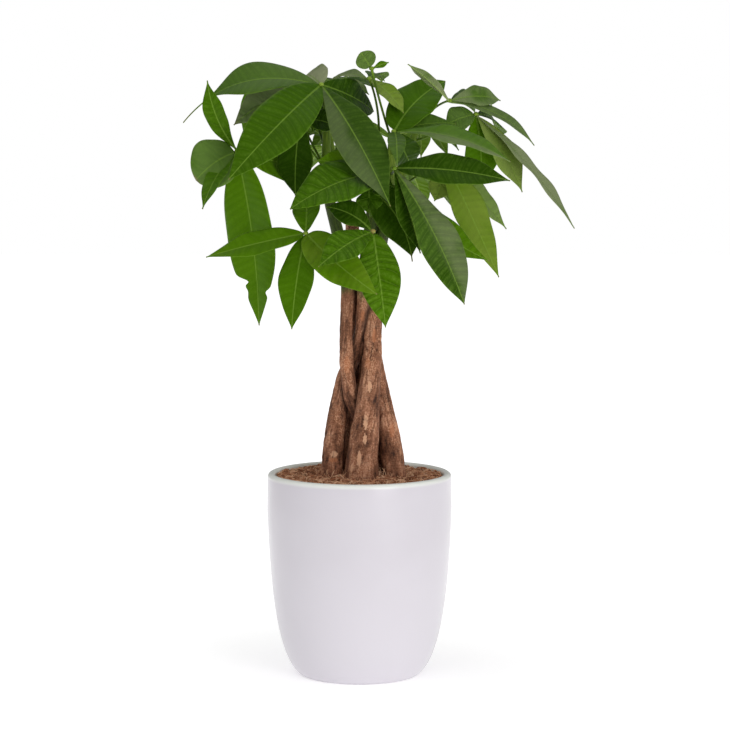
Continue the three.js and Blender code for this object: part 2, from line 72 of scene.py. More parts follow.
class Signal:
    # an output socket; sums with it add their own nodes
    def __init__(self, finish, socket):
        self.finish = finish
        self.socket = socket

    def maths(self, operation, *values):
        return self.finish.node("ShaderNodeMath", {"operation": operation}, dict(enumerate(values)))

    def __add__(self, other):
        return self.maths("ADD", self, other)

    def __sub__(self, other):
        return self.maths("SUBTRACT", self, other)

    def __rsub__(self, other):
        return self.maths("SUBTRACT", other, self)

    def __mul__(self, other):
        return self.maths("MULTIPLY", self, other)

    def __pow__(self, other):
        return self.maths("POWER", self, other)

    def __abs__(self):
        return self.maths("ABSOLUTE", self)

    __radd__ = __add__
    __rmul__ = __mul__

    def fraction(self):
        return self.maths("FRACT", self)

    def between(self, low, high):
        # 0 at low, 1 at high, and smooth on the way; low may be the larger
        settings = {"interpolation_type": "SMOOTHSTEP"}
        return self.finish.node("ShaderNodeMapRange", settings, {"Value": self, 1: low, 2: high})

    def over(self, reach):
        # the same, between two places in millimetres
        return self.between(reach[0] * mm, reach[1] * mm)

    def parts(self):
        split = self.finish.node("ShaderNodeSeparateXYZ", {}, {0: self})
        return [Signal(self.finish, socket) for socket in split.socket.node.outputs]


class Finish:
    # a material, with the values that are the same all over set on its shader
    def __init__(self, name, **fixed):
        self.material = bpy.data.materials.new(name)
        self.material.use_nodes = True
        self.tree = self.material.node_tree
        self.shader = self.tree.nodes["Principled BSDF"]
        for socket, value in fixed.items():
            self.shader.inputs[socket.replace("_", " ")].default_value = value

    def node(self, kind, settings, inputs, output=0):
        made = self.tree.nodes.new(kind)
        for name, value in settings.items():
            if name == "stops":
                self.setStops(made.color_ramp, value)
            else:
                setattr(made, name, value)
        for name, value in inputs.items():
            if isinstance(value, Signal):
                self.tree.links.new(value.socket, made.inputs[name])
            else:
                made.inputs[name].default_value = value
        return Signal(self, made.outputs[output])

    def setStops(self, ramp, stops):
        while len(ramp.elements) < len(stops):
            ramp.elements.new(1)
        for element, (place, colour) in zip(ramp.elements, stops):
            element.position = place
            element.color = colour

    def place(self):
        return self.node("ShaderNodeTexCoord", {}, {}, "Object")

    def look(self, name):
        return self.node("ShaderNodeAttribute", {"attribute_name": name}, {}, "Vector")

    def noise(self, where, scale, detail=3, roughness=0.55):
        inputs = {"Vector": where, "Scale": scale, "Detail": detail, "Roughness": roughness}
        return self.node("ShaderNodeTexNoise", {}, inputs)

    def stretch(self, where, factors):
        return self.node("ShaderNodeVectorMath", {"operation": "MULTIPLY"}, {0: where, 1: factors})

    def ramp(self, value, stops):
        return self.node("ShaderNodeValToRGB", {"stops": stops}, {"Fac": value})

    def mix(self, factor, first, second):
        # for colours the node has its inputs at 6 and 7, and its result at 2
        return self.node("ShaderNodeMix", {"data_type": "RGBA"}, {0: factor, 6: first, 7: second}, 2)

    def bump(self, height, depth, strength=1):
        return self.node("ShaderNodeBump", {}, {"Height": height, "Distance": depth, "Strength": strength})

    def feed(self, **links):
        for socket, value in links.items():
            self.tree.links.new(value.socket, self.shader.inputs[socket.replace("_", " ")])
        return self.material


# Meshes

def gridFaces(rows, columns, closed=False, flip=False):
    # quads over a grid of points, row after row; closed joins the last column to the first
    last = columns if closed else columns - 1
    row, column = np.meshgrid(np.arange(rows - 1), np.arange(last), indexing="ij")
    here = row * columns + column
    beside = row * columns + (column + 1) % columns
    quads = stacked(here, beside, beside + columns, here + columns).reshape(-1, 4)
    return quads[:, ::-1] if flip else quads


def fanFaces(count):
    # triangles that close a ring of points
    step = np.arange(1, count - 1)
    return stacked(0, step, step + 1)


class Shape:
    # points in millimetres and faces, gathered until they become one object
    def __init__(self, *looks):
        self.points = []
        self.faces = []
        self.slots = []
        self.smooth = []
        self.looks = {name: [] for name in looks}
        self.count = 0

    def add(self, points, faces, slot=0, **looks):
        points = np.asarray(points, float).reshape(-1, 3)
        self.join(faces, self.count, slot)
        self.points.append(points)
        for name, rows in self.looks.items():
            look = np.asarray(looks.get(name, (0, 0, 0)), float).reshape(-1, 3)
            rows.append(np.broadcast_to(look, points.shape))
        self.count += len(points)

    def join(self, faces, first, slot=0, smooth=True):
        # faces between points that are counted from the first one
        self.faces += (np.asarray(faces) + first).tolist()
        self.slots += [slot] * len(faces)
        self.smooth += [smooth] * len(faces)

    def addRings(self, rings, slot=0, smoothEnds=True, openEnd=False, **looks):
        # a skin over rings of points, closed at the start and, unless it is open, at the end
        rows, columns = rings.shape[:2]
        first = self.count
        self.add(rings, gridFaces(rows, columns, closed=True), slot, **looks)
        self.join(fanFaces(columns)[:, ::-1], first, slot, smoothEnds)
        if not openEnd:
            self.join(fanFaces(columns), self.count - columns, slot, smoothEnds)

    def build(self, name, materials):
        mesh = bpy.data.meshes.new(name)
        mesh.from_pydata((np.concatenate(self.points) * mm).tolist(), [], self.faces)
        mesh.polygons.foreach_set("material_index", self.slots)
        mesh.polygons.foreach_set("use_smooth", self.smooth)
        for look, rows in self.looks.items():
            values = mesh.attributes.new(look, "FLOAT_VECTOR", "POINT")
            values.data.foreach_set("vector", np.concatenate(rows).ravel())
        for material in materials:
            mesh.materials.append(material)
        piece = bpy.data.objects.new(name, mesh)
        bpy.context.scene.collection.objects.link(piece)
        return piece


def dress(piece, slot, *nodes):
    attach(piece, "root")
    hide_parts(*nodes)


def tubePoints(path, radii, sides):
    # rings across a path, which hardly turn about it
    tangents = unit(np.gradient(path, axis=0))
    upright = abs(tangents[len(tangents) // 2][2]) > 0.7
    reference = np.array([1.0, 0, 0] if upright else [0, 0, 1.0])
    side = unit(reference - (tangents @ reference)[:, None] * tangents)
    other = np.cross(tangents, side)
    angles = fullTurn(sides)[:, None]
    across = np.cos(angles) * side[:, None] + np.sin(angles) * other[:, None]
    return path[:, None] + across * np.asarray(radii, float).reshape(len(path), -1, 1)


def addTube(shape, path, radii, sides, **looks):
    shape.addRings(tubePoints(path, radii, sides), **looks)


def bezier(points, along):
    # a curve from the first point to the last, drawn towards those between
    along = np.asarray(along)[:, None]
    last = len(points) - 1
    return sum(
        math.comb(last, index) * along ** index * (1 - along) ** (last - index) * np.array(point, float)
        for index, point in enumerate(points)
    )


# Pot

pot = {
    "height": 169,
    "rimRadius": 76.5,
    "bellyRadius": 77,
    "bellyHeight": 140,
    "footRadius": 50,
    "innerFootRadius": 40,
    "wall": 6.5,
    "floor": 7,
    "lip": 3,
    "footRounding": 1.2,
    "sides": 160,
    "glaze": ink(204, 200, 207),
    "glazeShade": ink(197, 192, 199),
    # painted light: lighter glaze low on the wall, standing in for light from the floor
    "floorLitGlaze": ink(217, 213, 220),
    # painted light: the lip and the wall's inner face are painted this lighter colour
    "inside": ink(228, 230, 224),
    "floorLitHeights": (150, 20),  # the heights between which it grows lighter
    "litLipHeights": (164, 168),
    "innerRadius": (71, 70.2),
    "innerHeight": (110, 140),
    "roughness": 0.3,
}


def potProfile():
    # outside from the foot up, round the lip, and down the inside to the floor, as radius and height
    low, wall = pot["floor"], pot["wall"]
    belly, rim = pot["bellyRadius"], pot["rimRadius"]
    lipBase = pot["height"] - pot["lip"]
    outside = bezier([
        (pot["footRadius"], 0),
        (pot["footRadius"] + 14, 10),
        (belly - 2.5, 48),
        (belly, pot["bellyHeight"]),
    ], np.linspace(0, 1, 48))
    # the foot's edge is eased a little
    ease = [(pot["footRadius"] - pot["footRounding"], 0), (pot["footRadius"] - 0.2, 0.15)]
    neck = [(lerp(belly, rim, share), lerp(pot["bellyHeight"], lipBase, share)) for share in (0.35, 0.7, 1)]
    turn = np.linspace(0, math.pi, 15)[1:-1]
    lip = stacked(rim - wall / 2 + wall / 2 * np.cos(turn), lipBase + pot["lip"] * np.sin(turn))
    inside = bezier([
        (pot["innerFootRadius"], low),
        (pot["footRadius"] + 10 - wall, low + 5),
        (belly - 3 - wall, 54),
        (belly - wall, pot["bellyHeight"]),
    ], np.linspace(0, 1, 24))[::-1]
    return np.concatenate([ease, outside, neck, lip, [(rim - wall, lipBase)], inside])


def glazeFinish():
    finish = Finish("potGlaze", Specular_IOR_Level=0.35, Coat_Roughness=0.12)
    place = finish.place()
    x, y, z = place.parts()
    fromAxis = (x * x + y * y) ** 0.5
    cloud = finish.noise(place, 9)
    speckle = finish.noise(place, 900, 2)
    body = finish.mix(cloud.between(0.3, 0.75), pot["glaze"], pot["glazeShade"])
    body = finish.mix(speckle.between(0.62, 0.8) * 0.12, body, pot["glazeShade"])
    # painted light: the glaze is painted lighter low on the wall, standing in for light from the floor,
    # and the lip is painted clean white, a painted highlight
    body = finish.mix(z.over(pot["floorLitHeights"]), body, pot["floorLitGlaze"])
    body = finish.mix(z.over(pot["litLipHeights"]), body, pot["inside"])
    # painted light: the wall's inner face, below the lip, is painted lighter, standing in for light from
    # above
    litInnerFace = fromAxis.over(pot["innerRadius"]) * z.over(pot["innerHeight"])
    ripple = finish.noise(place, 26, 2) * 0.75 + finish.noise(place, 240, 2) * 0.25
    return finish.feed(
        Base_Color=finish.mix(litInnerFace, body, pot["inside"]),
        Roughness=finish.noise(place, 34) * 0.1 + (pot["roughness"] - 0.05),
        Coat_Weight=finish.noise(place, 14, 2) * 0.2 + 0.15,
        Normal=finish.bump(ripple, 0.0006, 0.35),
    )


def makePot():
    profile = potProfile()
    angles = fullTurn(pot["sides"])
    radius, height = profile[:, 0, None], profile[:, 1, None]
    shape = Shape()
    rings = stacked(radius * np.cos(angles), radius * np.sin(angles), height)
    shape.addRings(rings, smoothEnds=False)
    dress(shape.build("glazed_pot", [glazeFinish()]), "pot_glaze", "pot")


makePot()
print("pot made")


# Soil: hidden under the mulch, so the solid stays and only gets its finish

soil = {
    "tones": [(0.3, ink(28, 20, 15)), (0.55, ink(62, 44, 32)), (0.75, ink(96, 74, 55))],
    "roughness": 0.85,
}


def soilFinish():
    finish = Finish("pottingSoil", Specular_IOR_Level=0.2)
    crumbs = finish.noise(finish.place(), 260, 5)
    return finish.feed(
        Base_Color=finish.ramp(crumbs, soil["tones"]),
        Roughness=crumbs * 0.1 + soil["roughness"],
        Normal=finish.bump(crumbs, 0.002),
    )


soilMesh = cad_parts["soil"].data
soilMesh.materials.clear()
soilMesh.materials.append(soilFinish())
print("soil finished")


# Mulch: a lumpy bed, and loose coir fibres over it

mulch = {
    "base": 155.3,
    "edgeHeight": 164,
    "moundHeight": 168.5,
    "moundRadius": 46,
    "bump": 1.3,
    "edgeRadius": 69.6,
    "rings": 64,
    "sectors": 200,
    "roughness": 1.1,
    "fibres": 2600,
    "fibreLength": (6, 26),
    "fibreRadius": (0.24, 0.55),
    "fibreLift": (0.4, 3.4),
    "strips": 320,
    "stripLength": (8, 20),
    "stripRadius": (0.8, 1.9),
    "stripLift": (0.4, 2),
    "stripFlatness": 0.35,
    "feet": [((2, -16.5), 13.5), ((28, -3), 10.5), ((-22.5, -4.5), 10)],  # front stems: place, radius
    "leaning": 26,  # short fibres against each foot
    "leaningRadius": 0.34,
    "seed": 21,
    "tones": [
        (0.0, ink(84, 48, 28)), (0.25, ink(142, 90, 60)),
        (0.55, ink(188, 130, 96)), (1.0, ink(232, 186, 150)),
    ],
    "hollowShade": ink(48, 30, 20),
}


def mulchHeight(x, y):
    distance = np.hypot(x, y)
    mound = 0.5 + 0.5 * np.cos(math.pi * np.minimum(distance / mulch["moundRadius"], 1))
    bumps = np.sin(0.31 * x + 1.7) * np.cos(0.27 * y) + 0.6 * np.sin(0.52 * y - 0.44 * x)
    return lerp(mulch["edgeHeight"], mulch["moundHeight"], mound) + mulch["bump"] * bumps


def coirFinish():
    finish = Finish("coir", Specular_IOR_Level=0.25)
    place = finish.place()
    tint, depth, _ = finish.look("look").parts()
    grain = finish.noise(place, 700)
    tone = tint * 0.8 + finish.noise(place, 140, 4) * 0.3 + grain * 0.16 - 0.14
    return finish.feed(
        # painted shade: the bed is painted darker in its low spots
        Base_Color=finish.mix(depth, finish.ramp(tone, mulch["tones"]), mulch["hollowShade"]),
        Roughness=grain * 0.2 + 0.7,
        Normal=finish.bump(grain, 0.0006),
    )


def mulchBed(shape):
    rings, sectors = mulch["rings"], mulch["sectors"]
    radius = np.linspace(mulch["edgeRadius"], 1.5, rings)[:, None]
    angles = fullTurn(sectors)
    x, y = radius * np.cos(angles), radius * np.sin(angles)
    rough = np.array([
        noise.fractal(Vector((px * 0.22, py * 0.22, 4.0)), 0.8, 2.2, 4)
        for px, py in zip(x.ravel(), y.ravel())
    ]).reshape(x.shape)
    z = mulchHeight(x, y) + mulch["roughness"] * rough
    wall = [stacked(x[0], y[0], mulch["base"])]
    tint = np.concatenate([np.zeros((1, sectors)), 0.2 + 0.5 * rough])
    # painted shade: where the bed lies low it is painted darker, as if in shadow between the fibres
    looks = stacked(tint, np.clip(0.55 - tint, 0, 0.6), 0)
    shape.addRings(np.concatenate([wall, stacked(x, y, z)]), look=looks)


def fibrePath(draw, length, lift):
    # a curved strand that follows the bed, with both ends tucked in
    distance = mulch["edgeRadius"] * math.sqrt(draw.uniform(0.02, 1))
    around, heading = draw.uniform(0, 2 * math.pi, 2)
    bend = draw.uniform(-3, 3)
    along = np.linspace(-0.5, 0.5, 7)
    direction = heading + bend * along
    path = stacked(np.cos(direction), np.sin(direction)).cumsum(0) * (length / 6)
    path += np.array([math.cos(around), math.sin(around)]) * distance - path[3]
    reach = np.hypot(*path.T)
    path *= np.minimum(1, (mulch["edgeRadius"] - 0.8) / np.maximum(reach, 1))[:, None]
    arch = lift * (1 - (2 * along) ** 2) - 0.5 + 0.5 * draw.uniform(-1, 1, 7)
    return np.column_stack([path, mulchHeight(*path.T) + arch])


def addFibres(shape, draw):
    taper = np.array([0.4, 0.8, 1, 1, 1, 0.8, 0.4])
    for _ in range(mulch["fibres"]):
        length = draw.uniform(*mulch["fibreLength"])
        radius = draw.uniform(*mulch["fibreRadius"])
        path = fibrePath(draw, length, draw.uniform(*mulch["fibreLift"]))
        addTube(shape, path, radius * taper, 3, look=(draw.uniform(0.1, 1.25), 0, 0))


def addLeaningFibres(shape, draw):
    taper = mulch["leaningRadius"] * np.array([1, 1, 1, 0.9, 0.8, 0.7, 0.4])
    for foot, reach in mulch["feet"]:
        for _ in range(mulch["leaning"]):
            around = draw.uniform(0, 2 * math.pi)
            outward = np.array([math.cos(around), math.sin(around), 0])
            base = np.array([*foot, 0]) + outward * (reach + draw.uniform(1.2, 5))
            base[2] = mulchHeight(*base[:2])
            top = base - outward * draw.uniform(0, 1) + (*draw.uniform(-5, 5, 2), draw.uniform(2, 9))
            bend = (base + top) / 2 + draw.uniform(-3, 3, 3)
            path = bezier([base, bend, top], np.linspace(0, 1, 7))
            addTube(shape, path, taper, 3, look=(draw.uniform(0.5, 1.25), 0, 0))


def addStrips(shape, draw):
    taper = np.array([0.5, 0.9, 1, 1, 1, 0.8, 0.4])[:, None]
    flat = mulch["stripFlatness"]
    for _ in range(mulch["strips"]):
        path = fibrePath(draw, draw.uniform(*mulch["stripLength"]), draw.uniform(*mulch["stripLift"]))
        radii = draw.uniform(*mulch["stripRadius"]) * taper * (1, flat, 1, flat)
        addTube(shape, path, radii, 4, look=(draw.uniform(0, 0.8), 0, 0))


def makeMulch():
    draw = np.random.default_rng(mulch["seed"])
    shape = Shape("look")
    mulchBed(shape)
    addFibres(shape, draw)
    addLeaningFibres(shape, draw)
    addStrips(shape, draw)
    dress(shape.build("coir_mulch", [coirFinish()]), "coir", "mulch")


makeMulch()
print("mulch made")


# Stems: each row is x, y, z and the radius there, from the end in the soil to the tip

stem = {
    "steps": 230,
    "sides": 48,
    "green": {  # from and to these heights each stem turns green
        "stem_1": (352, 372), "stem_2": (318, 350), "stem_3": (300, 345),
        "stem_4": (308, 334), "stem_5": (372, 398),
    },
    "bright": (398, 420),
    "scars": [
        # stem, sideways place, height, half-width, half-height, and 1 where the scar is orange
        ("stem_1", 8.4, 243, 2, 5, 0), ("stem_1", 5.1, 214, 1.7, 6.5, 0), ("stem_1", 4.6, 200, 1.3, 5, 0),
        ("stem_1", -0.3, 184, 1.8, 7, 0), ("stem_1", -6, 176, 1.2, 4, 0), ("stem_3", -20.9, 186, 3, 2.6, 0),
        ("stem_3", -22, 181, 4, 2, 1), ("stem_4", -10.2, 260, 2.6, 8, 1), ("stem_1", 12.5, 285, 2, 6, 1),
        ("stem_2", 27, 205, 2, 6, 1), ("stem_3", 3, 300, 2, 5, 1), ("stem_1", 7, 262, 2.4, 5, 1),
    ],
    "layers": [(0.14, 0.05, 0), (0.3, 0.045, 9), (0.5, 0.22, 0)],  # of relief: blotches, fissures, grain
    "blotches": 0.9,
    "fissures": 0.7,
    "bud": 9,
    # painted shade: a stem is painted darker within this reach of another stem
    "cleft": 4.5,  # how far from its neighbour a stem is dark
    "barkTones": [
        (0.36, ink(62, 35, 22)), (0.44, ink(112, 71, 48)),
        (0.52, ink(148, 100, 74)), (0.63, ink(204, 154, 122)),
    ],
    "greenTones": [(0.35, ink(40, 52, 12)), (0.55, ink(66, 84, 22)), (0.75, ink(100, 114, 44))],
    "tipTones": [(0.35, ink(84, 112, 22)), (0.6, ink(118, 144, 40)), (0.8, ink(150, 168, 70))],
    "russet": ink(150, 92, 62),
    "ringMark": ink(70, 42, 30),
    "orangeScar": ink(178, 112, 74),
    "paleScar": ink(212, 164, 130),
    "flaked": ink(206, 156, 122),
    "groove": ink(44, 26, 18),
    "shade": ink(34, 20, 13),
}

stemRows = {
    "stem_1": [
        (2, -15, 121, 12), (2, -16, 153, 14), (2, -17, 178, 13.3), (4, -18, 203, 11.8),
        (7, -17, 228, 9.8), (9.5, -14, 253, 8.5), (11, -11, 278, 7.3), (12, -8, 303, 6.8),
        (12.5, -5, 328, 6.4), (15, -6, 348, 6), (20, -9, 373, 5.2), (24, -13, 398, 4.6),
        (26, -14, 423, 4), (27, -10, 445, 3.4),
    ],
    "stem_2": [
        (29, -3, 121, 10), (29, -3, 153, 11), (27.5, -3, 178, 10), (24, -2, 203, 8.8), (18.5, 0, 228, 8),
        (13, 3, 253, 7.6), (9.5, 6, 278, 7.4), (8, 10, 303, 7.2), (4, 12, 328, 6.6), (9, 16, 348, 6),
        (17, 22, 373, 5.2), (28, 28, 398, 4.6), (38, 32, 423, 4), (46, 32, 448, 3.3),
    ],
    "stem_3": [
        (-23, -4, 121, 9.5), (-23, -4, 153, 10.5), (-22, -5, 178, 9.5), (-20, -4, 203, 8.5),
        (-16.5, 1, 228, 7.6), (-10, 4, 253, 6.8), (-1, -1, 278, 6), (3.4, -7.5, 303, 6.1),
        (4, -9, 328, 6), (6, -10.5, 348, 5.8), (9, -12, 373, 5.2), (12, -12, 398, 4.6), (14, -10, 418, 4),
        (15, -8, 435, 3.4),
    ],
    "stem_4": [
        (14, 15, 121, 9.5), (13, 14, 153, 10), (12, 12, 178, 9.5), (8, 8, 203, 8), (-5.5, -6, 228, 6.2),
        (-9.6, -9, 253, 5.8), (-11, -8.5, 278, 5.5), (-10.2, -7, 303, 5.6), (-9.8, -4.5, 328, 5.7),
        (-13, -4, 348, 5.4), (-19, -5, 373, 5.1), (-25, -6, 398, 4.5), (-27, -7, 428, 3.9),
        (-27, -8, 455, 3.3),
    ],
    "stem_5": [
        (-9, 14, 121, 9), (-9, 14, 153, 10), (-9, 14, 178, 9), (-8, 14, 203, 8.2), (-5, 14, 228, 7.6),
        (0, 15, 253, 7.3), (-1, 14, 278, 7.1), (-7, 12, 303, 6.9), (-8.5, 11, 328, 6.4), (-8, 16, 348, 6),
        (-6, 22, 373, 5.6), (-13, 31, 398, 4.7), (-22, 39, 423, 3.9), (-26, 44, 451, 3.3),
    ],
}


def smoothRows(rows, steps):
    # a smooth curve through all the rows, radii too
    rows = np.array(rows, float)
    padded = np.vstack([2 * rows[0] - rows[1], rows, 2 * rows[-1] - rows[-2]])
    at = np.linspace(0, len(rows) - 1, steps + 1)
    first = np.minimum(at.astype(int), len(rows) - 2)
    part = (at - first)[:, None]
    a, b, c, d = [padded[first + shift] for shift in range(4)]
    square, cube = 2 * a - 5 * b + 4 * c - d, 3 * b - a - 3 * c + d
    return 0.5 * (2 * b + (c - a) * part + square * part ** 2 + cube * part ** 3)


def barkFinish():
    finish = Finish("bark", Specular_IOR_Level=0.3)
    grain = finish.look("grain")
    age, groove, lift = finish.look("look").parts()
    streak = finish.noise(finish.stretch(grain, (1, 1, 0.14)), 0.5, 5, 0.65)
    blotch = finish.noise(finish.stretch(grain, (1, 1, 0.4)), 0.09, 4)
    flake = finish.noise(finish.stretch(grain, (1, 1, 0.7)), 0.9, 4, 0.6)
    ring = finish.noise(finish.stretch(grain, (0.25, 0.25, 1)), 0.75)
    tone = streak * 0.28 + flake * 0.3 + ring * 0.22 + blotch * 0.2 + lift * 0.12
    bark = finish.ramp(tone, stem["barkTones"])
    bark = finish.mix(blotch.between(0.45, 0.7) * 0.4, bark, stem["russet"])
    bark = finish.mix(ring.between(0.57, 0.64) * 0.5, bark, stem["ringMark"])
    # where the outer bark has flaked off it is pale, and here and there orange
    pale, orange, cleft = finish.look("scar").parts()
    edge = (flake - 0.5) * 1.8
    bark = finish.mix((orange + edge).between(0.3, 0.75) * 0.6, bark, stem["orangeScar"])
    bark = finish.mix((pale + edge).between(0.35, 0.7) * 0.8, bark, stem["paleScar"])
    bark = finish.mix(blotch.between(0.52, 0.6) * flake.between(0.5, 0.58) * 0.55, bark, stem["flaked"])
    # painted shade: the bark is painted darker in its fissures
    bark = finish.mix(groove * 0.45, bark, stem["groove"])
    # painted shade: darkest in the clefts where stems press together
    bark = finish.mix(cleft.between(0.1, 0.9) * 0.75, bark, stem["shade"])
    green = finish.ramp(streak, stem["greenTones"])
    green = finish.mix(age.between(1, 2), green, finish.ramp(streak, stem["tipTones"]))
    young = (age + (blotch - 0.5) * 0.9).between(0.3, 0.7)
    height = streak * 0.5 + flake * 0.35 + ring * 0.15
    return finish.feed(
        Base_Color=finish.mix(young, bark, green),
        Roughness=flake * 0.2 + 0.68 - young * 0.22,
        Normal=finish.bump(height, 0.0016, 0.9),
    )


def barkRelief(path, radii, angles, seed, greenTo):
    # height of the bark over the plain limb and depth in its grooves, at every ring and angle
    length = np.concatenate([[0], np.linalg.norm(np.diff(path, axis=0), axis=1).cumsum()])
    circle = stacked(np.cos(angles), np.sin(angles))
    woody = np.clip((greenTo - path[:, 2]) / 60, 0.12, 1)
    relief = np.zeros((len(path), len(angles)))
    grooves = np.zeros_like(relief)
    for row, (along, radius) in enumerate(zip(length, radii)):
        for column, (x, y) in enumerate(circle):
            spot = Vector((x * radius + 40 * seed, y * radius, along))
            low, cleft, fine = [
                noise.noise(Vector((spot.x * across, spot.y * across, along * down + start)))
                for across, down, start in stem["layers"]
            ]
            groove = max(1 - abs(cleft) * 2.2 - 0.72, 0) / 0.28
            relief[row, column] = stem["blotches"] * low - stem["fissures"] * groove * 0.8 + 0.35 * fine
            grooves[row, column] = groove
    return relief * woody[:, None], grooves * woody[:, None], length


def nearness(points, name):
    # 1 where another stem touches, and 0 from the cleft's reach away
    gap = np.full(points.shape[:2], 99.0)
    for other, rows in stemRows.items():
        if other != name:
            curve = smoothRows(rows, 120)
            apart = np.linalg.norm(points[:, :, None] - curve[:, :3], axis=-1) - curve[:, 3]
            gap = np.minimum(gap, apart.min(-1))
    return np.clip(1 - gap / stem["cleft"], 0, 1)


def scarsAndShadeMarks(rings, name):
    # how pale, how orange and how close to another stem it is, at every point; closeness paints shade in
    # the cleft
    marks = stacked(0.0, 0.0, nearness(rings, name))
    front = rings[..., 1] < rings[..., 1].mean(1)[:, None]
    for owner, x, z, halfWidth, halfHeight, kind in stem["scars"]:
        if owner == name:
            far = ((rings[..., 0] - x) / halfWidth) ** 2 + ((rings[..., 2] - z) / halfHeight) ** 2
            marks[..., kind] = np.maximum(marks[..., kind], np.exp(-0.7 * far ** 2) * front)
    return marks


def makeStem(name, rows, seed, material):
    curve = smoothRows(rows, stem["steps"])
    path, radii = curve[:, :3], curve[:, 3]
    angles = fullTurn(stem["sides"])
    greenFrom, greenTo = stem["green"][name]
    relief, grooves, length = barkRelief(path, radii, angles, seed, greenTo)
    rings = tubePoints(path, radii[:, None] + relief, stem["sides"])
    # the tip closes in a small bud
    heading = unit(path[-1] - path[-2])
    shares = np.array([0.3, 0.6, 0.85, 1])
    closing = [
        path[-1] + heading * stem["bud"] * share + (rings[-1] - path[-1]) * (1 - share ** 1.6)
        for share in shares
    ]
    rings = np.concatenate([rings, closing])
    pad = ((0, len(shares)), (0, 0))
    radii, relief, grooves = [np.pad(part, pad, "edge") for part in (radii[:, None], relief, grooves)]
    length = np.concatenate([length, length[-1] + stem["bud"] * shares])[:, None]
    grain = stacked(radii * np.cos(angles) + 60 * seed, radii * np.sin(angles), length)
    age = np.interp(rings.mean(1)[:, 2], [greenFrom, greenTo, *stem["bright"]], [0, 1, 1, 2])
    look = stacked(age[:, None], grooves, np.clip(relief, -1, 1))
    shape = Shape("grain", "look", "scar")
    shape.addRings(rings, openEnd=True, grain=grain, look=look, scar=scarsAndShadeMarks(rings, name))
    return shape.build(name.replace("stem", "braided_stem"), [material])


bark = barkFinish()
for number, (name, rows) in enumerate(stemRows.items()):
    dress(makeStem(name, rows, number, bark), "bark", name)
print("stems made")


# Leaves: each has its stalk, from its stem to its hub, and leaflets whose tips are offsets from the hub.
# facing is the way the upper side looks.

leaf = {
    "rowsEachMm": 0.95,
    "rows": (40, 115),
    "across": 16,
    "thickness": 0.45,
    "bladeRoot": 1.7,
    "leastHalf": (0.95, 0.5),  # half-width of a leaflet at its root and tip
    "widestAt": 0.55,
    "sharpness": (0.8, 1.4),  # of the outline at a leaflet's root and tip
    "fold": math.radians(10),
    "ribSpacing": 7.2,
    "ribLean": 0.24,
    "ribCurve": 0.2,
    "quilt": 0.42,
    "wave": 0.9,
    "stalkRadius": 0.95,
    "stalkEnd": 1.5,
    "stalkSides": 12,
    "hubRadius": 2.2,
    "hubFlatness": 0.85,
    "hubGrid": (8, 14),
    "tones": [
        (0.0, ink(28, 55, 2)), (0.35, ink(49, 82, 4)), (0.6, ink(62, 100, 4)), (0.8, ink(77, 116, 5)),
        (1.0, ink(104, 128, 34)),
    ],
    "vein": ink(116, 148, 56),
    "crease": ink(20, 44, 2),
    "bloom": ink(132, 138, 106),
    "dry": ink(112, 100, 66),
    "back": (ink(72, 102, 22), ink(92, 124, 30)),
    "backVein": ink(122, 150, 62),
    "backMidrib": ink(140, 166, 78),
    "husk": ink(150, 128, 78),
    "stalkTones": [
        (0.3, ink(44, 62, 14)), (0.55, ink(66, 92, 22)),
        (0.72, ink(92, 124, 34)), (0.95, ink(126, 150, 58)),
    ],
    "sheen": (0.7, 0.9, 0.2, 1),
}

# A leaflet's arch and sway bend it and roll turns it about its length. full makes its outline rounder,
# widest is where it is widest, and tail is the share that is a thin drip tip. tint is lighter towards 1,
# and holds its own green along with painted light and shade: darker where the crown shades it and where
# it faces up, lighter where it hangs in the light. bloom is a painted greyish reflection, from
# root to tip, and side the half that has more of it. quilt is the swell between its ribs, dry the share
# at its tip that is dry, and a tear has its side, place, depth and height.


def blade(tip, width, arch, **extras):
    return {"tip": tip, "width": width, "arch": arch, **extras}


